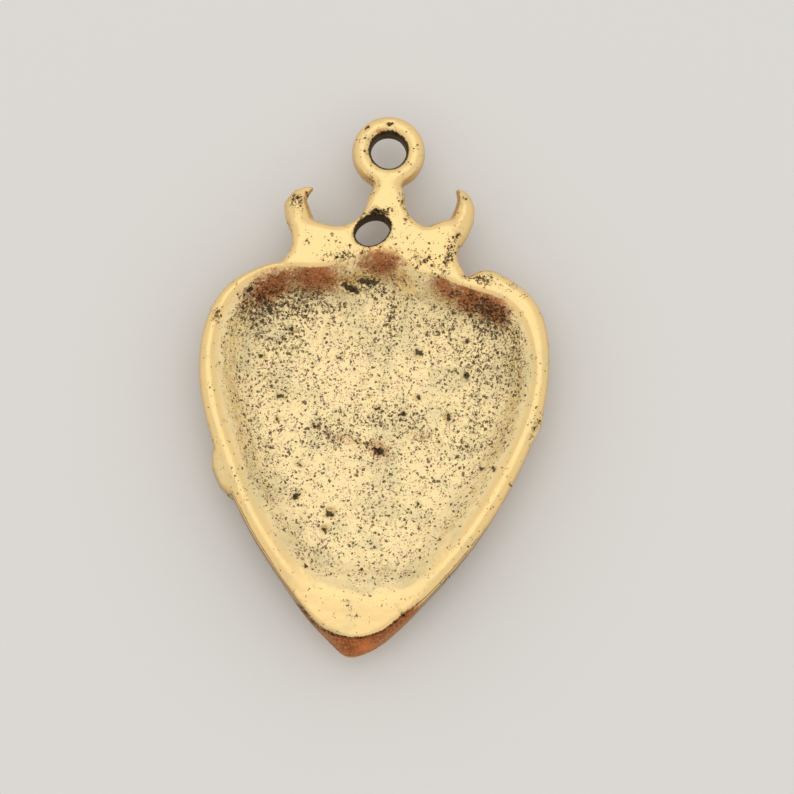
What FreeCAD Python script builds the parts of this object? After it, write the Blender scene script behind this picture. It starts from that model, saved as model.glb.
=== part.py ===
"""Heart pendant, cast in one piece of white metal.

It lies on its domed front with its hollow back up, as it comes to rest: X runs across the heart,
Y runs from the point of the heart to the hanging ring, and Z is up, out of the back.
The origin is on the surface that it rests on, under the middle of its length and width.
The casting is a hollow-backed heart with a rounded rim, a small crown with two curved horns over it,
a neck, and a flat ring that a jump ring or cord goes through. All sizes are in millimetres.
"""
import FreeCAD
import Part
import math
import os

from FreeCAD import Vector

# Heart
heart_width = 29.0
heart_length = 33.0
heart_middle = 20.6
body_depth = 4.8
wall_depth = 2.0
edge_round = 0.6
point_draft = 0.8
point_draft_reach = 9.0
crest_share = 0.47
crest_rounding = 3

# Hollow back
rim_width = 1.3
lip_width = 0.45
hollow_depth = 2.4
hollow_wall_run = 2.0
floor_lean = 4.0

# Crown and neck
crown_width = 13.9
crown_shift = -0.65
crown_thickness = 2.4
crown_edge_round = 0.5
crown_root = 2.2
crown_height = 3.3
corner_share = 0.86
corner_rise = 3.7
corner_step = 0.35
valley_rise = 3.15
valley_step = 0.2
neck_width = 2.75
neck_flare_reach = 2.0
neck_flare_rise = 3.0

# Horns
horn_radius = 1.1
horn_length = 3.85
horn_base_rise = 2.6
horn_base_spread = 13.4
horn_step = 0.7
horn_curl = 0.9
horn_thickness = 2.3

# Hanging ring
ring_outer_radius = 3.1
ring_hole_radius = 1.5
ring_thickness = 2.5
ring_bore_length = 1.5
ring_squareness = 2.8
ring_rise = 9.6
ring_shift = -0.08

# Oval hole between the crown and the neck
oval_length = 3.1
oval_width = 2.4
oval_turn = 35.0
oval_shift = -0.95
oval_rise = 2.6

# Swellings on the edge of the heart
swell_length = 5.8
swell_proud = 0.9
swell_height = 14.4
small_swell_length = 3.6
small_swell_proud = 0.3
small_swell_height = 19.8

# Worked out from the sizes above. The ring's section is a squarish oval that ends at the straight bore.
half_width = heart_width / 2
bore_angle = math.pi - math.asin((ring_bore_length / ring_thickness) ** (ring_squareness / 2))
bore_share = abs(math.cos(bore_angle)) ** (2 / ring_squareness)
ring_half_band = (ring_outer_radius - ring_hole_radius) / (1 + bore_share)
ring_band_radius = ring_outer_radius - ring_half_band
ring_height = heart_length + ring_rise
overall_length = ring_height + ring_outer_radius
middle = Vector(0, heart_middle, 0)

# One side of the heart, from the point up to the middle of the top: shares of the half width
# and of the length. The right lobe stands a little higher and wider than the left one.
heart_side = [
    (0.117, 0.024), (0.233, 0.069), (0.411, 0.160), (0.652, 0.305), (0.862, 0.487), (0.977, 0.640),
    (1.000, 0.745), (0.946, 0.862), (0.835, 0.929), (0.667, 0.972), (0.550, 0.981), (0.470, 0.963),
    (0.250, 1.040),
]
right_lobe_rise = 0.018
right_lobe_spread = 0.06
lobe_start = 0.8
top_rise = 2.0

# Top edge of the hollow, from the left shoulder to the right one: shares of the half width and of
# the length. It bows up in the middle, under the neck.
hollow_top = [
    (-0.855, 0.871), (-0.767, 0.922), (-0.674, 0.951), (-0.517, 0.969), (-0.290, 0.976),
    (-0.180, 1.004), (-0.050, 1.019), (0.075, 1.016), (0.223, 0.994), (0.371, 0.964),
    (0.517, 0.942), (0.692, 0.925), (0.790, 0.895), (0.856, 0.850),
]
hollow_side_rows = 7

# Depth and inward run of the hollow's wall, as shares of its depth and of its wall's run
hollow_profile = [
    (0.12, 0.0), (0.38, 0.3), (0.66, 0.6), (0.87, 1.0), (0.96, 1.5), (1.0, 2.2),
]

# One side of the crown above the heart: shares of its half width and of its height
crown_side = [(1.10, -0.15), (1.015, 0.15), (1.0, 0.485), (1.035, 0.758), (1.06, 1.0)]

# One side of the neck from the crown's valley up: shares of the flare's reach and of its rise
neck_side = [(1.0, 0.0), (0.475, 0.2), (0.15, 0.567), (0.0, 1.0)]

# A horn's line: how far it leans out as a share of its curl, how far up it is as a share of its
# length, and its thickness as a share of the radius at its base
horn_line = [
    (-0.90, -0.25, 0.70), (-0.40, 0.05, 0.95), (0.25, 0.35, 0.92), (0.52, 0.62, 0.74),
    (0.20, 0.82, 0.52), (-0.45, 0.94, 0.31), (-0.95, 1.00, 0.13),
]
right_horn_curl = 0.6

# The horns are not alike: how much thicker or thinner each one is, from its base to its tip
left_horn_girth = [1.0, 1.05, 1.12, 1.3, 1.2, 1.0, 1.0]
right_horn_girth = [0.85, 0.92, 0.97, 1.0, 1.0, 1.0, 1.0]


def spacing(points):
    """Running shares of the way round a closed outline, from 0 at its first point back to 1."""
    reached = [0.0]
    for index, point in enumerate(points):
        reached.append(reached[-1] + (points[(index + 1) % len(points)] - point).Length)
    return [length / reached[-1] for length in reached]


def smooth_loop(points, shares):
    """Closed smooth line through the points, as a wire."""
    curve = Part.BSplineCurve()
    curve.interpolate(Points=points, PeriodicFlag=True, Parameters=shares)
    return Part.Wire([curve.toShape()])


def inward(points, index):
    """Direction into a counterclockwise outline at one of its points."""
    along = points[(index + 1) % len(points)] - points[index - 1]
    along.normalize()
    return Vector(-along.y, along.x, 0)


def inset(points, distance):
    """The outline moved in by a distance, which is one number or a function of the height."""
    moved = []
    for index, point in enumerate(points):
        step = distance(point.y) if callable(distance) else distance
        moved.append(point + inward(points, index) * step)
    return moved


def rounder(points, passes):
    """The outline with its corners and its cleft evened out, a little more with each pass."""
    for _ in range(passes):
        following = points[1:] + points[:1]
        before = points[-1:] + points[:-1]
        points = [(a + b * 2 + c) * 0.25 for a, b, c in zip(before, points, following)]
    return points


def placed(points, depth, scale=1.0, lean=0.0):
    """The outline scaled about the heart's middle and laid at a depth below the rim's plane."""
    laid = []
    for point in points:
        spot = middle + (point - middle) * scale
        spot.z = body_depth - depth - lean * (spot.y - middle.y)
        laid.append(spot)
    return laid


def loft(sections):
    """Solid through closed outlines that all have the same number of points."""
    shares = spacing(sections[len(sections) // 2])
    return Part.makeLoft([smooth_loop(points, shares) for points in sections], True, True)


def heart_outline():
    """Counterclockwise outline of the heart at its widest, seen from the back."""
    right = []
    left = []
    for across, up in heart_side:
        lobe = max(0.0, up - lobe_start) / (1 - lobe_start)
        rise = 1 + right_lobe_rise * lobe
        spread = 1 + right_lobe_spread * lobe
        right.append(Vector(across * spread * half_width, up * rise * heart_length, 0))
        left.append(Vector(-across * half_width, up * heart_length, 0))
    top = Vector(0, heart_length + top_rise, 0)
    return [Vector(0, 0, 0)] + right + [top] + left[::-1]


def heart_body(outline):
    """Solid heart: rounded back edge, upright wall and domed front with a small flat crest."""
    def draft(share):
        """Extra inset of the wall near the heart's point, where it slopes out to the front."""
        def at_height(height):
            nearness = max(0.0, 1 - height / point_draft_reach)
            return point_draft * nearness ** 2 * share
        return at_height

    sections = []
    for angle in (0, 35, 65, 90):
        turn = math.radians(angle)
        depth = edge_round * (1 - math.cos(turn))
        edge = edge_round * (1 - math.sin(turn))
        sloped = inset(outline, draft(1 - depth / wall_depth))
        sections.append(placed(inset(sloped, edge), depth))
    sections.append(placed(outline, wall_depth))
    crest = rounder(outline, crest_rounding)
    crest_angle = math.acos(crest_share)
    steps = 6
    for step in range(1, steps + 1):
        share = step / steps
        turn = crest_angle * share
        fall = math.sin(turn) / math.sin(crest_angle)
        depth = wall_depth + (body_depth - wall_depth) * fall
        mixed = [edge + (soft - edge) * share for edge, soft in zip(outline, crest)]
        sections.append(placed(mixed, depth, math.cos(turn)))
    return loft(sections)


def hollow(outline):
    """Space that the back is open on: a soft lip, a sloped wall and a nearly flat floor."""
    rim = inset(outline, rim_width)
    sides = len(heart_side)
    right = rim[1:hollow_side_rows]
    left = rim[2 * sides + 3 - hollow_side_rows:]
    top = [Vector(x * half_width, y * heart_length, 0) for x, y in hollow_top]
    mouth = [rim[0]] + right + top[::-1] + left
    above = lip_width / 3
    sections = [
        placed(inset(mouth, -lip_width - above), -above),
        placed(inset(mouth, -lip_width / 2), lip_width / 8),
    ]
    lean = math.tan(math.radians(floor_lean))
    for depth, run in hollow_profile:
        scale = 1 - run * hollow_wall_run / half_width
        sections.append(placed(mouth, depth * hollow_depth, scale, lean * depth))
    return loft(sections)


def crown():
    """Crown plate and neck in one outline, with rounded back and front edges."""
    half = crown_width / 2
    root = heart_length - crown_root
    valley = heart_length + valley_rise
    corner = heart_length + corner_rise

    def half_outline(side):
        """Outline from the root up to the neck's end; side is 1 right or -1 left."""
        points = [Vector(crown_shift + side * half, root, 0)]
        for out, up in crown_side:
            points.append(Vector(crown_shift + side * out * half, heart_length + up * crown_height, 0))
        across = crown_shift + side * corner_share * half
        points.append(Vector(across, corner + side * corner_step, 0))
        for out, up in neck_side:
            reach = neck_width / 2 + out * neck_flare_reach
            rise = up * neck_flare_rise + side * valley_step
            points.append(Vector(side * reach, valley + rise, 0))
        return points

    outline = [Vector(crown_shift, root, 0)] + half_outline(1)
    outline += [Vector(0, ring_height - ring_band_radius, 0)] + half_outline(-1)[::-1]
    edges = []
    for angle in (0, 45, 90):
        turn = math.radians(angle)
        fall = crown_edge_round * (1 - math.cos(turn))
        edges.append((fall, inset(outline, crown_edge_round * (1 - math.sin(turn)))))
    back = [placed(points, fall) for fall, points in edges]
    front = [placed(points, crown_thickness - fall) for fall, points in edges[::-1]]
    return loft(back + front)


def horn(side, curl, rise, girth):
    """Tapered horn that leans out, then curls in over the crown; side is 1 right or -1 left."""
    base = Vector(crown_shift / 2 + side * horn_base_spread / 2, heart_length + rise, 0)
    line = [base + Vector(side * curl * out, up * horn_length, 0) for out, up, thick in horn_line]
    level = body_depth - crown_thickness / 2
    sections = []
    for index, (out, up, thick) in enumerate(horn_line):
        before = line[max(0, index - 1)]
        after = line[min(len(line) - 1, index + 1)]
        along = (after - before).normalize()
        across = Vector(along.y, -along.x, 0)
        centre = line[index] + Vector(0, 0, level)
        wide = horn_radius * thick * girth[index]
        deep = horn_thickness / 2 * math.sqrt(thick)
        sections.append(oval_loop(centre, across * wide, Vector(0, 0, deep)))
    return loft(sections)


def hanging_ring():
    """Ring turned about an upright axis, from a squarish section that ends at the straight bore."""
    def squared(share):
        """A share of the section's half size, pushed out towards the corner of its box."""
        return math.copysign(abs(share) ** (2 / ring_squareness), share)

    level = body_depth - ring_thickness / 2
    turns = [math.pi / 6 * step for step in range(4)] + [(math.pi / 2 + bore_angle) / 2, bore_angle]
    section = []
    for turn in [-turn for turn in turns[:0:-1]] + turns:
        reach = ring_band_radius + ring_half_band * squared(math.cos(turn))
        section.append(Vector(reach, 0, level + ring_thickness / 2 * squared(math.sin(turn))))
    face = Part.Face(Part.makePolygon(section + section[:1]))
    ring = face.revolve(Vector(0, 0, 0), Vector(0, 0, 1), 360)
    ring.translate(Vector(ring_shift, ring_height, 0))
    return ring


def oval_loop(centre, long_reach, short_reach):
    """Oval of eight points about a centre, from its two half axes."""
    points = []
    for eighth in range(8):
        turn = math.radians(45 * eighth)
        points.append(centre + long_reach * math.cos(turn) + short_reach * math.sin(turn))
    return points


def oval_cutter():
    """Oval post through the crown, just under the neck."""
    turn = math.radians(oval_turn)
    long_reach = Vector(math.cos(turn), math.sin(turn), 0) * oval_length / 2
    short_reach = Vector(-math.sin(turn), math.cos(turn), 0) * oval_width / 2
    foot = Vector(oval_shift, heart_length + oval_rise, 0)
    head = foot + Vector(0, 0, body_depth)
    return loft([oval_loop(spot, long_reach, short_reach) for spot in (foot, head)])


def swelling(outline, side, height, length, proud):
    """Low rounded swelling that lies along the heart's edge, with its top level with the rim."""
    half = [point for point in outline if point.x * side > 0]
    half.sort(key=lambda point: abs(point.y - height))
    lower, upper = sorted(half[:2], key=lambda point: point.y)
    share = (height - lower.y) / (upper.y - lower.y)
    along = (upper - lower).normalize()
    outward = Vector(along.y, -along.x, 0) * side
    thick = 2 * proud
    centre = lower + (upper - lower) * share - outward * (thick - proud)
    centre.z = body_depth - thick
    loops = []
    for turn in (-75, -45, -15, 15, 45, 75):
        angle = math.radians(turn)
        spot = centre + along * math.sin(angle) * length / 2
        reach = thick * math.cos(angle)
        loops.append(oval_loop(spot, outward * reach, Vector(0, 0, reach)))
    return loft(loops)


def pendant():
    """The whole casting, with the origin under the middle of its box."""
    outline = heart_outline()
    lumps = [
        crown(),
        horn(-1, horn_curl, horn_base_rise - horn_step / 2, left_horn_girth),
        horn(1, horn_curl * right_horn_curl, horn_base_rise + horn_step / 2, right_horn_girth),
        hanging_ring(),
        swelling(outline, -1, swell_height, swell_length, swell_proud),
        swelling(outline, 1, small_swell_height, small_swell_length, small_swell_proud),
    ]
    solid = heart_body(outline).fuse(lumps)
    solid = solid.cut([hollow(outline), oval_cutter()]).removeSplitter()
    solid.translate(Vector(0, -overall_length / 2, 0))
    return solid


os.makedirs("parts", exist_ok=True)
casting = pendant()
print("solids", len(casting.Solids), "faces", len(casting.Faces), "valid", casting.isValid())
print("volume", round(casting.Volume, 1), "mm3, length", round(overall_length, 2), "mm")
casting.exportStep("parts/pendant_casting.step")
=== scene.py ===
# %% [markdown]
# # A cast heart pendant, seen from its hollow back
#
# The pendant is one casting of white metal with an antique gold finish: a hollow heart, a small crown with
# two horns, a neck and a ring. This notebook dresses the solid that came from the CAD step, in the same
# place and at the same size. Blender works in metres, so a millimetre gets a name first.

import math

import bpy
import numpy as np
from mathutils import Matrix, Vector


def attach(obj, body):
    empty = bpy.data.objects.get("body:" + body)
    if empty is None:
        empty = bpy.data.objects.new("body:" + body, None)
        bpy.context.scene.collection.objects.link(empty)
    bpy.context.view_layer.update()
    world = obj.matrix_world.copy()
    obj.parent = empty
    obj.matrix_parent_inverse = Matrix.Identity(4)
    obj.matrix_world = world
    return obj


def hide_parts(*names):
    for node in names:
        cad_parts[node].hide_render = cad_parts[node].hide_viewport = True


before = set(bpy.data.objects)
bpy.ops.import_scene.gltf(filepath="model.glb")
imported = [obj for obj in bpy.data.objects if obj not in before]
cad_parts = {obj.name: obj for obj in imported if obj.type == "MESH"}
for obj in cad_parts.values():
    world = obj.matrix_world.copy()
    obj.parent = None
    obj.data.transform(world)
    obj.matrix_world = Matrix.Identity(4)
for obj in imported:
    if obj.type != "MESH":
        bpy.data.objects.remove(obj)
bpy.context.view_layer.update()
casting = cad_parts["pendant_casting"]
mm = 0.001
rim_level = 4.8
print("casting", len(casting.data.vertices), "vertices")

# %% [markdown]
# ## The camera
#
# The pendant is looked at from almost straight above, about 22 cm away, from a little towards the heart's
# point. A camera is easiest to set from three directions: where it looks from, what is up, and what is
# right. The picture is turned by four degrees, so up and right are turned with it.

# %% Camera
tilt = math.radians(11.0)
roll = math.radians(4.0)
distance = 220 * mm
sensor_width = 36.0
nearest = 10 * mm
picture_width = 794
pixels_per_mm = 12.0
aside_right = 2.0 * mm
aside_up = -0.96 * mm


def turned(first, second, angle):
    """The first direction turned towards the second by an angle."""
    return first * math.cos(angle) + second * math.sin(angle)


back = Vector((0, -math.sin(tilt), math.cos(tilt)))
level_up = Vector((0, math.cos(tilt), math.sin(tilt)))
level_right = Vector((1, 0, 0))
right = turned(level_right, level_up, roll)
up = turned(level_up, -level_right, roll)
target = Vector((0, 0, rim_level / 2 * mm)) + right * aside_right + up * aside_up

bpy.ops.object.select_all(action="DESELECT")
bpy.ops.object.camera_add()
camera = bpy.context.object
facing = Matrix((right, up, back)).transposed().to_4x4()
camera.matrix_world = Matrix.Translation(target + back * distance) @ facing
camera.data.sensor_width = sensor_width
camera.data.lens = pixels_per_mm * (distance / mm) * sensor_width / picture_width
camera.data.clip_start = nearest
bpy.context.scene.camera = camera
print("lens", round(camera.data.lens, 1), "mm")

# %% [markdown]
# ## Writing shader maths as expressions
#
# A material is a net of nodes. Wrapping a socket in a small class with the usual operators lets the maths
# be read from left to right, and each operator adds its own Math node.

# %% Sockets with operators
class Value:
    """A socket with the usual operators; each one adds a Math node."""

    def __init__(self, net, socket):
        self.net = net
        self.socket = socket

    def maths(self, operation, first, second):
        """One Math node on two sockets or numbers."""
        return self.net.node("ShaderNodeMath", {"operation": operation}, {0: first, 1: second})

    def __add__(self, other):
        return self.maths("ADD", self, other)

    def __radd__(self, other):
        return self.maths("ADD", other, self)

    def __sub__(self, other):
        return self.maths("SUBTRACT", self, other)

    def __rsub__(self, other):
        return self.maths("SUBTRACT", other, self)

    def __mul__(self, other):
        return self.maths("MULTIPLY", self, other)

    def __rmul__(self, other):
        return self.maths("MULTIPLY", other, self)

    def other(self, output):
        """Another output of the same node."""
        return Value(self.net, self.socket.node.outputs[output])


# %% A net of nodes
class Net:
    """The nodes of one material or of the world."""

    def __init__(self, owner):
        owner.use_nodes = True
        self.tree = owner.node_tree
        self.tree.nodes.clear()

    def node(self, kind, settings=None, inputs=None, output=0):
        """Adds a node: its settings first, then the values or links of its sockets."""
        made = self.tree.nodes.new(kind)
        for name, value in (settings or {}).items():
            setattr(made, name, value)
        for name, value in (inputs or {}).items():
            socket = made.inputs[name]
            if isinstance(value, Value):
                self.tree.links.new(value.socket, socket)
            elif socket.type == "RGBA":
                socket.default_value = (*value, 1)
            else:
                socket.default_value = value
        return Value(self, made.outputs[output]) if made.outputs else None

    def mix(self, share, first, second):
        """Colour mixed from the first to the second by a share."""
        return self.node("ShaderNodeMix", {"data_type": "RGBA"}, {0: share, 6: first, 7: second}, 2)

    def steps(self, value, low, high):
        """0 below the low value and 1 above the high one, with a smooth rise between them."""
        settings = {"interpolation_type": "SMOOTHSTEP"}
        return self.node("ShaderNodeMapRange", settings, {0: value, 1: low, 2: high, 3: 0.0, 4: 1.0})


# %% [markdown]
# ## The floor and the light
#
# A plain pale floor with a soft shadow shows a small object best. It is seen from one side only: from
# below it is clear, so that the front of the pendant can be looked at too. Polished metal shows what is
# around it, so the room matters more than the lamp: it is evenly bright nearly all round, and dims only
# low down on the side of the heart's point. The camera itself sees a paler backdrop in its place.

# %% Floor
floor_size = 600 * mm
floor_drop = 0.02 * mm
floor_finish = {"Base Color": (0.80, 0.79, 0.77), "Roughness": 0.9}
bpy.ops.object.select_all(action="DESELECT")
bpy.ops.mesh.primitive_plane_add(size=floor_size, location=(0, 0, -floor_drop))
floor = bpy.context.object
floor.name = "floor"
pale_floor = bpy.data.materials.new("pale_floor")
net = Net(pale_floor)
coat = net.node("ShaderNodeBsdfPrincipled", None, floor_finish)
clear = net.node("ShaderNodeBsdfTransparent")
underside = net.node("ShaderNodeNewGeometry", output="Backfacing")
seen = net.node("ShaderNodeMixShader", None, {0: underside, 1: coat, 2: clear})
net.node("ShaderNodeOutputMaterial", None, {0: seen})
floor.data.materials.append(pale_floor)
print("floor", round(floor_size / mm), "mm across")

# %% Room
room_light = 0.745
overhead_light = 0.02
dim_light = 0.10
warm_white = (1.0, 0.985, 0.95)
backdrop_finish = {"Color": (0.93, 0.925, 0.91), "Strength": 1.0}
bpy.context.scene.view_settings.view_transform = "Standard"
room = bpy.data.worlds.new("room")
bpy.context.scene.world = room
net = Net(room)
direction = net.node("ShaderNodeTexCoord", output="Generated")
towards_ring = net.node("ShaderNodeSeparateXYZ", None, {0: direction}, 1)
overhead = net.node("ShaderNodeSeparateXYZ", None, {0: direction}, 2)
bright_side = net.steps(towards_ring, -1.1, -0.7)
high = net.steps(overhead, 0.0, 0.7)
brightness = bright_side * (high * overhead_light + room_light) + dim_light
shown = net.node("ShaderNodeLightPath", output="Is Camera Ray")
lighting = net.node("ShaderNodeBackground", None, {"Color": warm_white, "Strength": brightness})
backdrop = net.node("ShaderNodeBackground", None, backdrop_finish)
sky = net.node("ShaderNodeMixShader", None, {0: shown, 1: lighting, 2: backdrop})
net.node("ShaderNodeOutputWorld", None, {0: sky})
print("room", round(room_light + dim_light, 3), "of full white")

# %% Lamp
lamp_place = Vector((-20, 100, 320)) * mm
lamp_size = 200 * mm
lamp_power = 0.054
bpy.ops.object.light_add(type="AREA", location=lamp_place)
lamp = bpy.context.object
lamp.name = "soft_lamp"
lamp.rotation_euler = lamp_place.to_track_quat("Z", "Y").to_euler()
lamp.data.size = lamp_size
lamp.data.energy = lamp_power
print("lamp", lamp_power, "W")

# %% [markdown]
# ## The casting's skin
#
# The solid has crisp edges and flat bands, and a cast and tumbled pendant has neither. A Bevel modifier
# would round the edges but leave the bands. So a voxel remesh turns a copy of the solid into one even skin
# of small squares, and a smoothing pass rounds every edge the way tumbling does. The solid's mesh is loose
# triangles, so the copy's doubles are merged before the remesh.

# %% Remesh and smooth
voxel = 0.138 * mm
rounding_passes = 7
smoothing = 0.5
weld = 0.001 * mm


def only(piece):
    """Selects one object and nothing else."""
    bpy.ops.object.select_all(action="DESELECT")
    piece.select_set(True)
    bpy.context.view_layer.objects.active = piece


def apply_modifier(piece, kind, **settings):
    """Adds a modifier, sets it and applies it."""
    modifier = piece.modifiers.new(kind.lower(), kind)
    for name, value in settings.items():
        setattr(modifier, name, value)
    only(piece)
    bpy.ops.object.modifier_apply(modifier=modifier.name)


pendant = bpy.data.objects.new("pendant", casting.data.copy())
bpy.context.scene.collection.objects.link(pendant)
pendant.data.materials.clear()
only(pendant)
bpy.ops.object.mode_set(mode="EDIT")
bpy.ops.mesh.select_all(action="SELECT")
bpy.ops.mesh.remove_doubles(threshold=weld)
bpy.ops.object.mode_set(mode="OBJECT")
apply_modifier(pendant, "REMESH", mode="VOXEL", voxel_size=voxel)
apply_modifier(pendant, "SMOOTH", factor=smoothing, iterations=rounding_passes)
print("skin", len(pendant.data.polygons), "faces")

# %% [markdown]
# ## Zones of the skin
#
# Wear, stain and pitting lie in places on a real casting: the hollow keeps its cast skin and its stain,
# and the rim is rubbed bright. Each zone is worked out for the points of the skin, as a share between 0 and
# 1, and it drives both the shape and the colours.

# %% Points of the skin
def skin_points(piece):
    """The skin's points, in millimetres, and the directions out of the metal."""
    count = len(piece.data.vertices)
    points = np.empty(count * 3, np.float32)
    piece.data.vertices.foreach_get("co", points)
    outward = np.empty(count * 3, np.float32)
    piece.data.vertex_normals.foreach_get("vector", outward)
    return points.reshape(-1, 3) / mm, outward.reshape(-1, 3)


def soften(piece, values, passes):
    """Values of the points evened out with those of their neighbours."""
    edges = np.empty(len(piece.data.edges) * 2, np.int32)
    piece.data.edges.foreach_get("vertices", edges)
    first, second = edges.reshape(-1, 2).T
    count = len(values)
    shared = np.bincount(first, minlength=count) + np.bincount(second, minlength=count)
    for _ in range(passes):
        near = np.bincount(first, values[second], count) + np.bincount(second, values[first], count)
        values = (values + near) / (1 + shared)
    return values


print("skin", len(pendant.data.vertices), "points")


# %% Shares and ovals
def rise(values, low, high):
    """0 below the low value and 1 above the high one, with a smooth rise between them."""
    share = np.clip((values - low) / (high - low), 0, 1)
    return share * share * (3 - 2 * share)


def strip(values, start, full, fading, end):
    """1 on a strip of the values, with a smooth rise before it and a smooth fall after it."""
    return rise(values, start, full) * (1 - rise(values, fading, end))


def oval(points, x, y, length, width, turn):
    """How far out each point is in an oval, 1 on its edge; its length lies along the turn, in degrees."""
    angle = math.radians(turn)
    across = points[:, 0] - x
    upward = points[:, 1] - y
    along = across * math.cos(angle) + upward * math.sin(angle)
    beside = upward * math.cos(angle) - across * math.sin(angle)
    return np.hypot(2 * along / length, 2 * beside / width)


def patch(points, x, y, length, width, turn):
    """Soft oval patch, 1 at its middle."""
    return np.exp(-oval(points, x, y, length, width, turn) ** 2)


def spot(points, x, y, length, width, turn):
    """Oval spot with a flat middle and steep sides, 1 at its middle."""
    return np.exp(-oval(points, x, y, length, width, turn) ** 4)


# %% The hollow
hollow_top = 11.7
heart_middle = -2.0


def facing_away(points, outward):
    """How much the skin faces away from the heart's middle, from -1 to 1."""
    upward = points[:, 1] - heart_middle
    reach = np.maximum(np.hypot(points[:, 0], upward), 1)
    return (outward[:, 0] * points[:, 0] + outward[:, 1] * upward) / reach


def hollow_zone(piece):
    """1 on the skin of the hollow, 0 on the rim and on the outside."""
    points, outward = skin_points(piece)
    below_rim = rise(rim_level - points[:, 2], 0.12, 0.45)
    inward = rise(-facing_away(points, outward), -0.35, -0.15)
    return below_rim * rise(outward[:, 2], 0.1, 0.3) * inward * (points[:, 1] < hollow_top)


print("hollow", round(float(hollow_zone(pendant).mean()), 2), "of the points")

# %% [markdown]
# ## Softer forms
#
# The solid's hollow has an even wall and a crisp lip, and its ring and horns meet the crown in creases. On
# the casting all of this is soft. A vertex group says where a Smooth or Displace modifier works, and how
# strongly, so that one place can be softened or pushed while the skin around it stays.

# %% Push and smooth in places
least_weight = 0.01


def group_of(piece, name, weights):
    """Vertex group with a weight for each point of the skin."""
    group = piece.vertex_groups.new(name=name)
    for index in np.flatnonzero(weights > least_weight):
        group.add([int(index)], float(weights[index]), "REPLACE")
    return group.name


def push(piece, name, heights, direction="NORMAL"):
    """Moves each point of the skin out of the metal, or up, by its own height in millimetres."""
    reach = max(float(np.abs(heights).max()), 0.01)
    for sign in (1, -1):
        named = group_of(piece, name, np.clip(sign * heights / reach, 0, 1))
        how = {"vertex_group": named, "direction": direction, "mid_level": 0.0}
        apply_modifier(piece, "DISPLACE", strength=sign * reach * mm, **how)


def smooth_where(piece, name, weights, passes):
    """Smooths the skin where its points' weights say so."""
    named = group_of(piece, name, weights)
    apply_modifier(piece, "SMOOTH", factor=smoothing, iterations=passes, vertex_group=named)


# %% Soften the lip and the joints
lip_place = (0.0, 9.6, 13.0, 5.0, 0)
lip_bottom = 2.5
lip_passes = 70
joint_passes = 35
joints = [
    # x, y, length, width, turn: where the ring and the horns grow out of the crown
    (-0.1, 16.7, 5.4, 2.4, 0),
    (-7.0, 13.2, 3.6, 2.4, 20),
    (6.2, 13.9, 3.6, 2.4, -20),
]

points, outward = skin_points(pendant)
smooth_where(pendant, "lip", spot(points, *lip_place) * (points[:, 2] > lip_bottom), lip_passes)
points, outward = skin_points(pendant)
joint = np.max([spot(points, *place) for place in joints], axis=0)
smooth_where(pendant, "joints", joint * rise(outward[:, 2], 0.1, 0.4), joint_passes)

# %% [markdown]
# ## A fuller wall
#
# Under the rim the casting's wall is fuller than the solid's and runs softly into the floor. The height to
# add follows from how far up the wall a point is: nothing at the floor and at the rim, and most between
# them. At the point of the heart the floor comes right up to the rim, and the swelling at the heart's left
# edge is raised to the rim's level too. Then the wall is smoothed as a whole.

# %% Fill the wall
floor_height = 2.24
floor_slope = 0.07
least_depth = 0.2
wall_fullness = 1.1
lip_fullness = 0.45
wall_passes = 75
point_height = 4.66
point_share = 0.75
side_place = (-12.5, -8.2, 5.6, 2.2, -66)
side_height = 4.7
side_share = 0.8


def inside_rim(points, outward):
    """1 on the wall and floor of the hollow up to the rim, 0 on the outer slopes."""
    inward = rise(-facing_away(points, outward), -0.25, -0.05)
    return rise(outward[:, 2], 0.05, 0.2) * inward * (points[:, 1] < hollow_top) * (points[:, 2] > 1.5)


points, outward = skin_points(pendant)
inside = soften(pendant, inside_rim(points, outward), 6)
floor_level = floor_height - floor_slope * points[:, 1]
deep = np.maximum(rim_level - floor_level, least_depth)
share = np.clip((points[:, 2] - floor_level) / deep, 0, 1)
fuller = (wall_fullness * (1 - share) + lip_fullness) * share * (1 - share) * deep
at_point = rise(-points[:, 1], 13.0, 19.0) * np.clip(point_height - points[:, 2], 0, 1) * point_share
side_swell = spot(points, *side_place) * rise(outward[:, 2], 0.1, 0.4)
level_side = side_swell * np.clip(side_height - points[:, 2], 0, 0.8) * side_share
push(pendant, "fuller", np.maximum(fuller, at_point) * inside + level_side, "Z")
smooth_where(pendant, "walls", soften(pendant, hollow_zone(pendant), 4), wall_passes)
print("wall filled by up to", round(float((fuller * inside).max()), 2), "mm")

# %% [markdown]
# ## The flat at the point
#
# At the heart's point the casting has a small flat, level with the rim, that ends in a round corner, and
# below the corner a slope falls to the tip. The corner is an arc with sides that leave at 45 degrees, so one
# distance from it says where the flat ends and where the slope runs.

# %% Shape the point
tip_middle = (-0.35, -16.55)
tip_radius = 4.55
tip_fall = 0.35
tip_place = (0.2, -20.0, 9.0, 4.6, 0)
side_edge_place = (-12.3, -8.2, 6.4, 3.0, -66)
point_passes = 70
edge_passes = 30
flat_passes = 8


def past_corner(points):
    """How far each point is from the middle of the point's round corner, whose sides leave at 45 degrees."""
    across = np.abs(points[:, 0] - tip_middle[0])
    below = tip_middle[1] - points[:, 1]
    return np.where(across > below, (across + below) * math.sqrt(0.5), np.hypot(across, below))


points, outward = skin_points(pendant)
smooth_where(pendant, "point", spot(points, *tip_place) * rise(outward[:, 2], 0.5, 0.8), point_passes)

points, outward = skin_points(pendant)
band = strip(past_corner(points), tip_radius, tip_radius + 0.7, tip_radius + 1.0, tip_radius + 1.6)
push(pendant, "tip", -tip_fall * band * rise(-points[:, 1], 17.0, 19.5) * rise(outward[:, 2], 0.1, 0.4), "Z")

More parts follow.
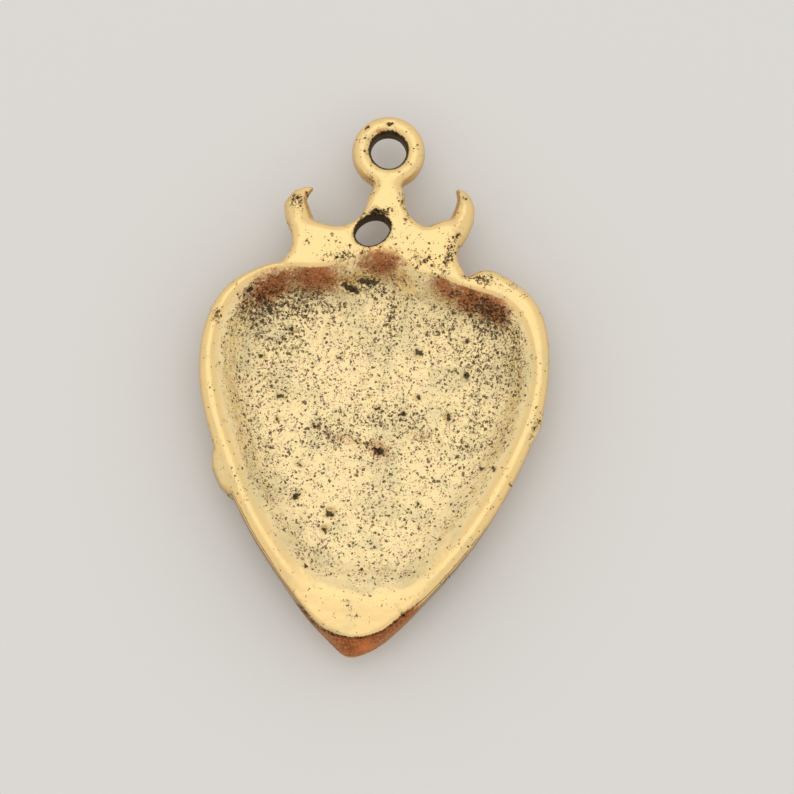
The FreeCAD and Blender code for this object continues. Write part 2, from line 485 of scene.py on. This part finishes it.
points, outward = skin_points(pendant)
low_edge = rise(-points[:, 1], 8.0, 13.0) * rise(points[:, 2], 2.6, 3.2) * (1 - inside_rim(points, outward))
side = spot(points, *side_edge_place) * rise(outward[:, 2], 0.1, 0.4)
smooth_where(pendant, "edges", np.maximum(low_edge, side), edge_passes)

points, outward = skin_points(pendant)
flat_zone = 1 - rise(past_corner(points), tip_radius - 0.15, tip_radius + 0.20)
flat_zone = flat_zone * rise(-points[:, 1], 15.0, 18.5) * rise(outward[:, 2], 0.3, 0.6)
push(pendant, "flat", flat_zone * (point_height - points[:, 2]), "Z")
smooth_where(pendant, "flat", soften(pendant, flat_zone, 3), flat_passes)
print("flat at the point", round(float(flat_zone.sum()) / len(points), 3), "of the points")

# %% [markdown]
# ## Low swells
#
# Two ridges climb from the floor to the crown and two lower ones lie beside them. Each is a soft oval patch,
# and none of them may stand higher than the rim.

# %% Raise the swells
crown_room = 0.04
floor_swells = [
    # x, y, length, width, turn, height
    (3.4, 7.6, 7.0, 2.6, -80, 0.50),
    (-2.6, 9.3, 3.2, 1.6, 80, 0.35),
    (-3.6, 5.0, 5.0, 2.2, 80, 0.12),
    (6.6, 3.5, 6.0, 2.5, 60, 0.10),
]

points, outward = skin_points(pendant)
inside = soften(pendant, inside_rim(points, outward), 10)
swells = sum(patch(points, *place) * height for *place, height in floor_swells) * inside
room_left = np.maximum(rim_level - crown_room - points[:, 2], 0)
push(pendant, "swells", np.minimum(swells, room_left))
print("swells", len(floor_swells), "up to", round(float(np.minimum(swells, room_left).max()), 2), "mm")

# %% [markdown]
# ## Pits, dents and chips
#
# Pits and small dents are scattered over the hollow, with one long gouge at its top, and there are a few
# chips on the rim, the horns and the ring. They could be sculpted by hand, but a list is easier to change
# and gives the same dents each run. Each one is an oval spot with a place, a size and a depth. The spots
# become the weights of one vertex group, and a Displace modifier pushes the skin in by them.

# %% Places of the dents and chips
floor_dents = [
    # x, y, length, width, turn, depth
    (-4.6, -3.7, 0.85, 0.34, -32, 0.28),
    (-7.7, -3.4, 0.70, 0.30, 22, 0.20),
    (-8.2, -5.6, 0.80, 0.26, -62, 0.20),
    (-5.6, -7.1, 0.95, 0.34, -15, 0.24),
    (-5.7, -9.8, 1.25, 0.40, 42, 0.24),
    (-2.8, -11.0, 0.78, 0.74, 0, 0.40),
    (-3.1, -12.4, 0.60, 0.52, -30, 0.30),
    (-1.1, -4.8, 1.00, 0.34, -30, 0.22),
    (0.9, -5.4, 1.10, 0.80, -35, 0.28),
    (0.5, -1.9, 0.80, 0.34, 0, 0.22),
    (6.4, -2.2, 0.90, 0.60, -60, 0.28),
    (2.6, -2.2, 0.80, 0.50, 0, 0.16),
    (5.8, -4.4, 0.40, 0.55, 0, 0.20),
    (9.4, -6.5, 0.60, 0.34, 0, 0.16),
    (10.4, -6.6, 0.45, 0.34, 30, 0.18),
    (4.4, -9.7, 0.36, 0.36, 0, 0.16),
    (4.5, -8.9, 0.60, 0.26, -40, 0.14),
    (-4.4, -15.7, 0.40, 0.40, 0, 0.20),
    (-4.9, -17.1, 0.42, 0.36, 0, 0.18),
    (0.1, -15.6, 0.50, 0.40, 0, 0.14),
    (-3.0, 2.2, 0.70, 0.40, -20, 0.18),
    (-9.4, 1.9, 0.70, 0.50, 0, 0.20),
    (-7.1, 4.4, 0.70, 0.50, 0, 0.20),
    (-7.6, -1.4, 0.90, 0.50, -10, 0.18),
    (-0.2, -0.8, 0.50, 0.40, 0, 0.16),
    (7.5, 4.4, 0.55, 0.45, 0, 0.22),
    (3.6, 3.1, 0.90, 0.80, -40, 0.18),
    (3.8, -0.7, 0.75, 0.40, 0, 0.24),
    (7.7, 1.4, 0.70, 0.90, 0, 0.18),
    (-10.8, 7.0, 0.90, 0.40, 55, 0.16),
    (-2.45, 8.15, 2.00, 0.55, -16, 0.40),
    (-1.0, 8.8, 2.40, 0.60, 0, 0.16),
]
chips = [
    # x, y, length, width, turn, depth
    (-11.0, -10.6, 1.50, 0.22, -48, 0.20),
    (13.9, -2.4, 0.36, 0.22, -70, 0.14),
    (13.6, -3.1, 0.50, 0.22, 60, 0.16),
    (13.3, -3.9, 0.36, 0.20, 60, 0.12),
    (11.8, -7.9, 0.34, 0.24, 20, 0.16),
    (9.5, -12.0, 0.34, 0.24, 20, 0.16),
    (8.8, -13.2, 0.30, 0.22, 20, 0.12),
    (7.4, -15.8, 0.30, 0.22, 20, 0.12),
    (-13.3, 5.3, 0.50, 0.20, 50, 0.12),
    (-13.7, 4.4, 0.40, 0.22, 40, 0.12),
    (-13.0, 4.4, 0.55, 0.14, 85, 0.10),
    (-6.5, 15.4, 0.90, 0.30, -65, 0.16),
    (-0.9, 14.3, 1.20, 0.50, 30, 0.16),
    (0.3, 13.5, 0.70, 0.30, -60, 0.12),
    (-2.05, 21.55, 0.80, 0.26, 52, 0.12),
    (-0.1, 22.0, 0.60, 0.45, 0, 0.12),
    (3.75, -19.15, 0.60, 0.30, -40, 0.22),
]
print("dents", len(floor_dents), "and chips", len(chips))

# %% Press in the dents
deepest = 0.40
wobble = 0.08


def ragged(points):
    """The points moved about a little, so that an oval over them gets an uneven edge."""
    across, upward, level = points.T
    waves = (np.sin(upward * 11.0 + across * 4.0), np.sin(across * 12.0 - upward * 5.0), level * 0)
    return points + wobble * np.stack(waves, axis=1)


points, outward = skin_points(pendant)
facing_back = rise(outward[:, 2], 0.0, 0.4)
dents = sum(spot(ragged(points), *place) * depth for *place, depth in floor_dents) * hollow_zone(pendant)
dents += sum(spot(ragged(points), *place) * depth for *place, depth in chips) * facing_back
push(pendant, "dents", -np.minimum(dents, deepest))
print("deepest dent", round(float(np.minimum(dents, deepest).max()), 2), "mm")

# %% [markdown]
# ## The uneven cast skin
#
# No cast surface is true. Cloud textures of three sizes push the hollow in and out by up to a tenth of a
# millimetre, and the rubbed rim by much less. They lie in the piece's own coordinates, so they give the
# same form each run.

# %% Uneven cast skin
rim_share = 0.22
cast_waves = [
    # name, size, height
    ("broad", 2.6, 0.20),
    ("small", 0.8, 0.12),
    ("tiny", 0.35, 0.05),
]
uneven = np.clip(soften(pendant, hollow_zone(pendant), 6) + rim_share * facing_back, 0, 1)
cast_skin = group_of(pendant, "cast_skin", uneven)
for name, size, height in cast_waves:
    clouds = bpy.data.textures.new(name, "CLOUDS")
    clouds.noise_scale = size * mm
    clouds.noise_depth = 1
    how = {"texture": clouds, "texture_coords": "LOCAL", "vertex_group": cast_skin}
    apply_modifier(pendant, "DISPLACE", strength=height * mm, **how)
print("waves", len(cast_waves))

# %% [markdown]
# ## Level with the rim
#
# Pushed and wavy places may not stand over the rim, because the dressed piece stays inside the solid's box.
# So what is higher is brought down to a hair under the rim's level.

# %% Keep under the rim's level
hair = 0.004
points, outward = skin_points(pendant)
push(pendant, "level", np.minimum(rim_level - hair - points[:, 2], 0), "Z")
print("highest point before", round(float(points[:, 2].max()), 3), "mm")

# %% [markdown]
# ## A plain front
#
# The front has no fine form, so it is smoothed, and most of its small squares do nothing for it. Thinning
# it out keeps the piece light while the back stays fine.

# %% Smooth the front
front_passes = 40
points, outward = skin_points(pendant)
smooth_where(pendant, "front", rise(-outward[:, 2], 0.05, 0.30), front_passes)
print("front", round(float((outward[:, 2] < 0).mean()), 2), "of the points")

# %% Thin out the front
front_level = 1.9
front_share = 0.12
points, outward = skin_points(pendant)
on_front = points[:, 2] < front_level
corners = np.empty(len(pendant.data.polygons) * 4, np.int32)
pendant.data.polygons.foreach_get("vertices", corners)
all_front = on_front[corners.reshape(-1, 4)].all(axis=1)
bpy.ops.object.mode_set(mode="EDIT")
bpy.ops.mesh.select_mode(type="FACE")
bpy.ops.mesh.select_all(action="DESELECT")
bpy.ops.object.mode_set(mode="OBJECT")
pendant.data.polygons.foreach_set("select", all_front)
bpy.ops.object.mode_set(mode="EDIT")
bpy.ops.mesh.decimate(ratio=front_share)
bpy.ops.object.mode_set(mode="OBJECT")
bpy.ops.object.shade_smooth()
print("skin", len(pendant.data.polygons), "faces, front thinned out")

# %% [markdown]
# ## Attributes for the finish
#
# The finish reads its zones from numbers stored on the skin's points: the hollow itself, where the specks
# are and where they crowd, where the red-brown lies, partly stain and partly painted reflection, where the
# dark wash fills a dent or a corner and, with painted shade, the walls of the holes, how much the skin
# tilts, where the hollow's wall takes a paler painted reflection, where the steep outer slopes take a brown
# painted reflection, where a painted orange glint lies on the tip, and the outer slopes of the lower edges,
# which take more painted reflection and painted lines for the shade of fine ridges along the casting. They
# could be painted by hand, but numbers worked out from the points are sharp, and they stay right when the
# form changes.

# %% Places of the specks
outer_places = [
    # x, y, length, width, turn, strength
    (-1.3, 16.6, 0.9, 3.6, 5, 0.8),
    (1.6, 15.4, 1.0, 4.6, 8, 0.9),
    (-0.4, 14.2, 3.2, 1.4, 10, 1.0),
    (5.6, 11.4, 1.2, 4.4, -12, 1.0),
    (8.3, 9.1, 3.6, 1.1, -10, 1.0),
    (3.4, 10.4, 3.2, 1.6, 0, 0.7),
    (-6.3, 11.4, 1.2, 1.2, 0, 0.8),
    (-3.4, 10.3, 3.2, 1.2, 10, 0.9),
    (-0.1, 20.6, 4.0, 1.6, 0, 0.7),
    (-7.5, 14.8, 1.8, 2.0, 0, 0.9),
    (-13.3, 4.8, 1.0, 2.4, 0, 0.8),
    (13.6, -3.0, 0.8, 2.4, -20, 0.8),
]
crowded_places = [
    # x, y, length, width, turn, strength
    (-9.8, 5.8, 5.4, 3.8, 35, 1.0),
    (-6.8, 6.4, 5.4, 3.0, 8, 0.95),
    (-7.6, 3.2, 5.0, 4.0, 0, 0.55),
    (-8.8, 0.0, 3.0, 5.0, 10, 0.45),
    (-4.2, 6.2, 3.0, 2.4, 0, 0.5),
    (-0.6, 8.2, 4.0, 1.6, -10, 0.8),
    (1.1, 6.6, 1.8, 5.0, 0, 0.75),
    (9.3, 6.4, 6.0, 3.2, -35, 1.0),
    (11.2, 3.6, 2.4, 7.0, 5, 0.75),
    (8.2, 3.4, 5.0, 5.5, 0, 0.55),
    (5.2, 5.5, 4.0, 4.5, 0, 0.4),
    (0.7, -5.2, 3.2, 1.8, -25, 0.75),
    (0.6, -2.6, 9.0, 3.0, 0, 0.45),
    (-3.4, -4.4, 4.0, 1.8, -25, 0.5),
    (-9.2, -4.6, 2.6, 6.0, 20, 0.4),
    (8.6, -3.0, 4.0, 6.0, -20, 0.35),
]
print("places of specks", len(outer_places) + len(crowded_places))

# %% Places of the stains and painted reflections, and of the wash
# Red-brown places: partly stain, partly a painted reflection of brown surroundings on walls under the crown.
stain_and_reflection_places = [
    # x, y, length, width, turn, strength
    (-9.1, 7.5, 5.6, 2.5, 32, 1.0),
    (-5.4, 8.6, 5.6, 2.5, 4, 1.0),
    (-0.1, 10.2, 4.4, 2.6, -4, 0.95),
    (1.6, 9.0, 2.0, 2.4, -30, 0.5),
    (5.4, 8.4, 3.2, 2.0, -36, 0.9),
    (7.4, 7.8, 4.0, 2.4, -24, 1.0),
    (9.5, 7.0, 4.2, 2.4, -36, 1.0),
    (-0.8, 21.3, 1.2, 0.5, 0, 0.8),
    (-2.0, -4.7, 5.4, 1.4, -18, 0.46),
    (0.8, -5.4, 2.8, 1.8, -30, 0.62),
    (3.9, -4.1, 2.8, 1.0, 5, 0.48),
]
wash_marks = [
    # x, y, length, width, turn, strength
    (-6.35, 11.4, 0.60, 0.70, 0, 0.62),
    (-3.8, 10.15, 0.80, 0.55, 0, 0.60),
    (3.6, 10.4, 1.20, 0.75, 10, 0.62),
    (2.2, 11.2, 0.60, 0.50, 0, 0.56),
    (6.2, 12.8, 0.60, 1.20, -25, 0.62),
    (5.4, 11.0, 0.80, 2.60, -14, 0.56),
    (-0.4, 14.2, 1.70, 1.20, 10, 0.64),
    (1.4, 15.2, 0.70, 1.60, -20, 0.56),
    (-1.3, 16.6, 0.60, 1.40, 0, 0.54),
    (-7.7, 15.2, 0.70, 1.20, 0, 0.58),
    (-7.1, 14.4, 0.80, 0.50, 0, 0.56),
    (8.2, 9.2, 2.20, 0.60, -12, 0.58),
    (-13.1, 5.0, 0.60, 1.40, -30, 0.56),
    (3.2, -18.5, 0.90, 0.20, -50, 0.60),
    (-0.1, -19.6, 2.00, 0.60, 8, 0.50),
]
# The lower outer slopes near the point, for more brown painted reflection and painted ridge lines.
lower_slope_places = [(-8.0, -15.4, 13.0, 3.4, -57, 1.0), (7.6, -15.8, 10.0, 3.4, 53, 1.0)]
# Place of a painted orange glint on the tip's slope.
tip_glint_place = (0.8, -21.9, 1.5, 0.8, 10)
print("places of stain and wash", len(stain_and_reflection_places) + len(wash_marks))

# %% Paint the hollow and its specks
low_crown = (-0.3, 10.4, 13.0, 3.6, 0)
low_crown_share = 0.55


def paint(piece, name, values):
    """Stores one number for each point of the skin, for the finish to read."""
    attribute = piece.data.attributes.new(name, "FLOAT", "POINT")
    attribute.data.foreach_set("value", np.ascontiguousarray(values, np.float32))


def patches(points, places, form=patch):
    """The strongest of several patches at each point."""
    return np.max([form(points, *place) * strength for *place, strength in places], axis=0)


points, outward = skin_points(pendant)
hollow = soften(pendant, hollow_zone(pendant), 3)
outer = patches(points, outer_places) * (1 - hollow) * rise(outward[:, 2], 0.2, 0.5)
thinning = 1 - 0.85 * rise(-points[:, 1], 15.5, 18.0)
speck_zone = rise(rim_level - points[:, 2], 0.25, 0.80) * thinning * hollow
on_low_crown = patch(points, *low_crown) * (1 - hollow) * rise(outward[:, 2], 0.5, 0.8)
paint(pendant, "hollow", hollow)
paint(pendant, "speckled", soften(pendant, np.maximum(speck_zone, on_low_crown * low_crown_share), 2))
paint(pendant, "crowded", np.maximum(patches(points, crowded_places) * hollow, outer))
print("specks on", round(float((speck_zone > 0.5).mean()), 2), "of the points")

# %% Paint the stains, the painted reflection and the painted glint
ring_across = -0.08
ring_up = 19.75
crown_place = (0.0, 10.2, 5.4, 3.6, 0)
from_tip = past_corner(points)
at_tip = rise(-points[:, 1], 17.2, 19.4) * (points[:, 2] > 2.6)
# Painted reflection and stain: a red-brown band on the slope below the flat at the point.
tip_stain_and_reflection = strip(from_tip, tip_radius + 0.05, tip_radius + 0.25, tip_radius + 1.5, tip_radius + 1.8)
below_rim = rise(rim_level - points[:, 2], 0.06, 0.20)
on_crown = np.maximum(patch(points, *crown_place), points[:, 1] > ring_up)
# Red-brown places under the rim and on the crown: partly stain, partly painted reflection.
red = patches(points, stain_and_reflection_places) * np.maximum(below_rim, on_crown)
paint(pendant, "stain_and_reflection", np.maximum(red, tip_stain_and_reflection * at_tip))
# Where the painted orange glint lies on the tip.
paint(pendant, "tip_glint", patch(points, *tip_glint_place) * at_tip)
print("stain on", round(float((red > 0.5).mean()), 3), "of the points")

# %% Paint the tilt, the wall and the edges
steep = 1 - np.clip(outward[:, 2], 0, 1)
sloping_out = rise(1 - outward[:, 2], 0.08, 0.35) * (1 - hollow)
paint(pendant, "tilt", soften(pendant, steep, 2))
# The hollow's steep wall, which the finish tints with a paler painted reflection.
paint(pendant, "wall", rise(steep, 0.04, 0.16) * hollow)
# The steep outer slopes, which the finish browns as a painted reflection.
paint(pendant, "edge", rise(steep, 0.45, 0.95) * (1 - hollow))
# The lower outer slopes, which get more brown painted reflection and painted ridge lines.
paint(pendant, "lower_slopes", patches(points, lower_slope_places) * sloping_out)
print("edges on", round(float((steep > 0.7).mean()), 2), "of the points")

# %% Paint the dark wash and the painted shade in the holes
oval_hole = (-0.95, 12.75, 3.1, 2.4, 35.0)
dent_wash = 0.7
chip_wash = 0.9
ring_reach = np.hypot(points[:, 0] - ring_across, points[:, 1] - ring_up)
# The walls of the ring's bore and of the oval hole are darkened: partly wash, partly painted shade inside
# the holes.
ring_bore_shade = 1 - rise(ring_reach, 1.5, 1.95)
oval_hole_shade = 1 - rise(oval(points, *oval_hole), 1.0, 1.3)
in_dents = patches(ragged(points), [(*place, dent_wash + depth) for *place, depth in floor_dents], spot)
in_chips = patches(ragged(points), [(*place, chip_wash) for *place, _ in chips], spot)
marks = patches(points, wash_marks)
tip_line = strip(from_tip, tip_radius, tip_radius + 0.15, tip_radius + 0.25, tip_radius + 0.6)
washed = [in_dents * hollow, in_chips, marks, ring_bore_shade * 0.9, oval_hole_shade * 0.8, tip_line * at_tip * 0.55]
paint(pendant, "washed", np.maximum.reduce(washed))
print("attributes", [name for name in pendant.data.attributes.keys() if not name.startswith(".")])

# %% [markdown]
# ## The antique gold finish
#
# The casting is plated bright gold, dipped in a dark wash, and rubbed. The wash stays in the pits and in
# the corners of the hollow, where it is olive, and darkens the walls of the holes together with painted
# shade. The red-brown on the walls under the crown and on the tip's slope is partly stain and partly a
# painted reflection of brown surroundings, and the raised places are cream-gold. The colour is built up in
# the same order: a pale gold tinted by broad noises and by a painted reflection on the wall, then the
# stains, the painted reflections and the painted glint, then the specks, the painted highlights and the
# wash. Nodes stay sharp at any distance, where a painted picture would blur. A Voronoi pattern has one cell
# for each speck, so every speck can have its own size.

# %% Helpers for the finish
gold = bpy.data.materials.new("antique_gold")
net = Net(gold)
place = net.node("ShaderNodeTexCoord", output="Object")
in_mm = net.node("ShaderNodeMapping", None, {0: place, "Scale": (1 / mm, 1 / mm, 1 / mm)})


def noise(scale, detail, roughness=0.5, distortion=0.0):
    """Noise with a number of waves a millimetre."""
    waves = {"Scale": scale, "Detail": detail, "Roughness": roughness, "Distortion": distortion}
    return net.node("ShaderNodeTexNoise", None, {"Vector": in_mm, **waves})


def zone(name):
    """A zone that was painted on the skin."""
    return net.node("ShaderNodeAttribute", {"attribute_name": name}, output="Fac")


def specks(where, cells, density, size):
    """Separate specks, one in each cell whose random number is under the density."""
    pattern = net.node("ShaderNodeTexVoronoi", None, {"Vector": where, "Scale": cells})
    chance = net.node("ShaderNodeSeparateColor", None, {0: pattern.other("Color")})
    reach = (chance.other(1) * 0.5 + 0.5) * size
    return net.steps(reach - pattern, 0.0, 0.13) * net.steps(density - chance, 0.0, 0.12)


# %% Noises
bend_reach = 0.45
hollow_share = zone("hollow")
crowding = zone("crowded")
broad = noise(0.35, 2.0)
middling = noise(1.1, 3.0)
grain = noise(3.4, 3.0, 0.6, 0.4)
clotted = noise(4.4, 3.0, 0.6, 0.4)
rough = noise(5.0, 3.0, 0.6)
swirl = {0: rough.other("Color"), "Scale": bend_reach}
bend = net.node("ShaderNodeVectorMath", {"operation": "SCALE"}, swirl)
bent = net.node("ShaderNodeVectorMath", {"operation": "ADD"}, {0: in_mm, 1: bend})
print("nodes", len(net.tree.nodes))

# %% Gold
cream_gold = (1.0, 0.785, 0.41)
rim_gold = (0.93, 0.67, 0.305)
olive_gold = (0.74, 0.62, 0.34)
wall_reflection_olive = (0.93, 0.77, 0.42)
rose_gold = (1.0, 0.74, 0.46)
colour = net.mix(hollow_share, rim_gold, cream_gold)
# Painted reflection: the hollow's steep wall is tinted paler olive, as if it mirrored another part of the
# room.
colour = net.mix(zone("wall") * 0.4, colour, wall_reflection_olive)
colour = net.mix(net.steps(broad, 0.48, 0.64) * (hollow_share * 0.3 + 0.3), colour, olive_gold)
colour = net.mix(net.steps(middling, 0.54, 0.70) * hollow_share * 0.6, colour, rose_gold)
print("nodes", len(net.tree.nodes))

# %% Stains, painted reflections and the painted glint
red_brown = (0.25, 0.068, 0.022)
orange_brown = (0.60, 0.18, 0.052)
glint_orange = (0.86, 0.27, 0.09)
edge_reflection_brown = (0.62, 0.34, 0.12)
reflection_and_ridge_brown = (0.22, 0.09, 0.03)
hatching = (rough - 0.5) * 1.2 + (grain - 0.5) * 0.8 + (middling - 0.5) * 0.4
# The red-brown tone is partly stain and partly a painted reflection of brown surroundings.
stain_and_reflection_share = net.steps(zone("stain_and_reflection") + hatching, 0.20, 0.85)
stain_and_reflection_tone = net.mix(net.steps(rough, 0.38, 0.64), red_brown, orange_brown)
colour = net.mix(stain_and_reflection_share * 0.94, colour, stain_and_reflection_tone)
# Painted orange glint on the tip, laid over the red-brown.
colour = net.mix(zone("tip_glint") * stain_and_reflection_share * 0.7, colour, glint_orange)
# Painted reflection: the steep outer slopes are darkened to orange-brown, as if they mirrored dark
# surroundings.
colour = net.mix(zone("edge") * 0.6, colour, edge_reflection_brown)
# More brown painted reflection on the lower outer slopes.
colour = net.mix(zone("lower_slopes") * zone("edge") * 0.7, colour, reflection_and_ridge_brown)
print("nodes", len(net.tree.nodes))

# %% Specks, painted highlight flecks and smears
olive_wash = (0.12, 0.08, 0.033)
dark_wash = (0.045, 0.028, 0.012)
fleck_highlight = (1.0, 0.86, 0.52)
density = zone("speckled") * 0.66 + crowding * 0.62 + (broad - 0.5) * 1.0 + (middling - 0.5) * 2.4
coarse = specks(bent, 3.2, density, crowding * 0.14 + 0.46)
fine = specks(bent, 5.4, density + 0.15, crowding * 0.14 + 0.47)
pitted = net.steps(crowding + hollow_share, 0.3, 0.8)
clotting = clotted + crowding * 0.15 + stain_and_reflection_share * 0.05 + (middling - 0.5) * 0.25
clumps = net.steps(clotting, 0.66, 0.73) * pitted
# Painted highlights: bright flecks that stand for glints on the small bumps of the cast skin.
glint_flecks = net.steps(noise(6.5, 2.0, 0.6, 0.3), 0.60, 0.68) * pitted
smears = net.steps(noise(2.0, 4.0, 0.7, 0.6) + crowding * 0.12, 0.56, 0.70) * pitted
colour = net.mix(glint_flecks * (0.7 - stain_and_reflection_share * 0.45), colour, fleck_highlight)
colour = net.mix(smears * (crowding * 0.35 + 0.12), colour, olive_wash)
colour = net.mix(fine * (0.74 - stain_and_reflection_share * 0.3), colour, olive_wash)
colour = net.mix(coarse * (0.9 - stain_and_reflection_share * 0.3), colour, olive_wash)
colour = net.mix(clumps * 0.85, colour, dark_wash)
print("nodes", len(net.tree.nodes))

# %% Wash and the painted ridge lines along the lower edges
ridge_line_tilts = (0.10, 0.34, 0.68)
wash_share = net.steps(zone("washed") + (rough - 0.5) * 0.8 + (grain - 0.5) * 0.5, 0.40, 0.66)
colour = net.mix(wash_share * 0.9, colour, dark_wash)
# Three thin brown lines at fixed tilts of the lower outer slopes: painted shade standing for fine ridges
# along the casting.
tilt_there = zone("tilt") + (middling - 0.5) * 0.12
ridge_line_zone = net.steps(zone("lower_slopes") + (middling - 0.5) * 1.0, 0.3, 0.5)
for line in ridge_line_tilts:
    away = net.node("ShaderNodeMath", {"operation": "ABSOLUTE"}, {0: tilt_there - line})
    colour = net.mix((1 - net.steps(away, 0.02, 0.08)) * ridge_line_zone * 0.85, colour, reflection_and_ridge_brown)
print("nodes", len(net.tree.nodes))

# %% Antique gold
relief_depth = 0.03 * mm
speckle = net.node("ShaderNodeMath", {"operation": "MAXIMUM"}, {0: coarse, 1: clumps})
roughness = 0.30 + speckle * 0.3 + stain_and_reflection_share * 0.15 + wash_share * 0.3 + hollow_share * 0.05
height = 0.0 - speckle * 0.8 - fine * 0.3 + (grain - 0.5) * (hollow_share * 1.0 + 0.25) - wash_share * 0.5
relief = net.node("ShaderNodeBump", None, {"Strength": 1.0, "Distance": relief_depth, "Height": height})
metallic = 1.0 - hollow_share * 0.35
finish = {"Base Color": colour, "Metallic": metallic, "Roughness": roughness, "Normal": relief}
metal = net.node("ShaderNodeBsdfPrincipled", None, finish)
net.node("ShaderNodeOutputMaterial", None, {0: metal})
pendant.data.materials.append(gold)
print("antique gold", len(net.tree.nodes), "nodes")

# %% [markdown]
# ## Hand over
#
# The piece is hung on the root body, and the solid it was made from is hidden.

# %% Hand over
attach(pendant, "root")
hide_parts("pendant_casting")


print("triangles", sum(len(p.vertices) - 2 for p in pendant.data.polygons))
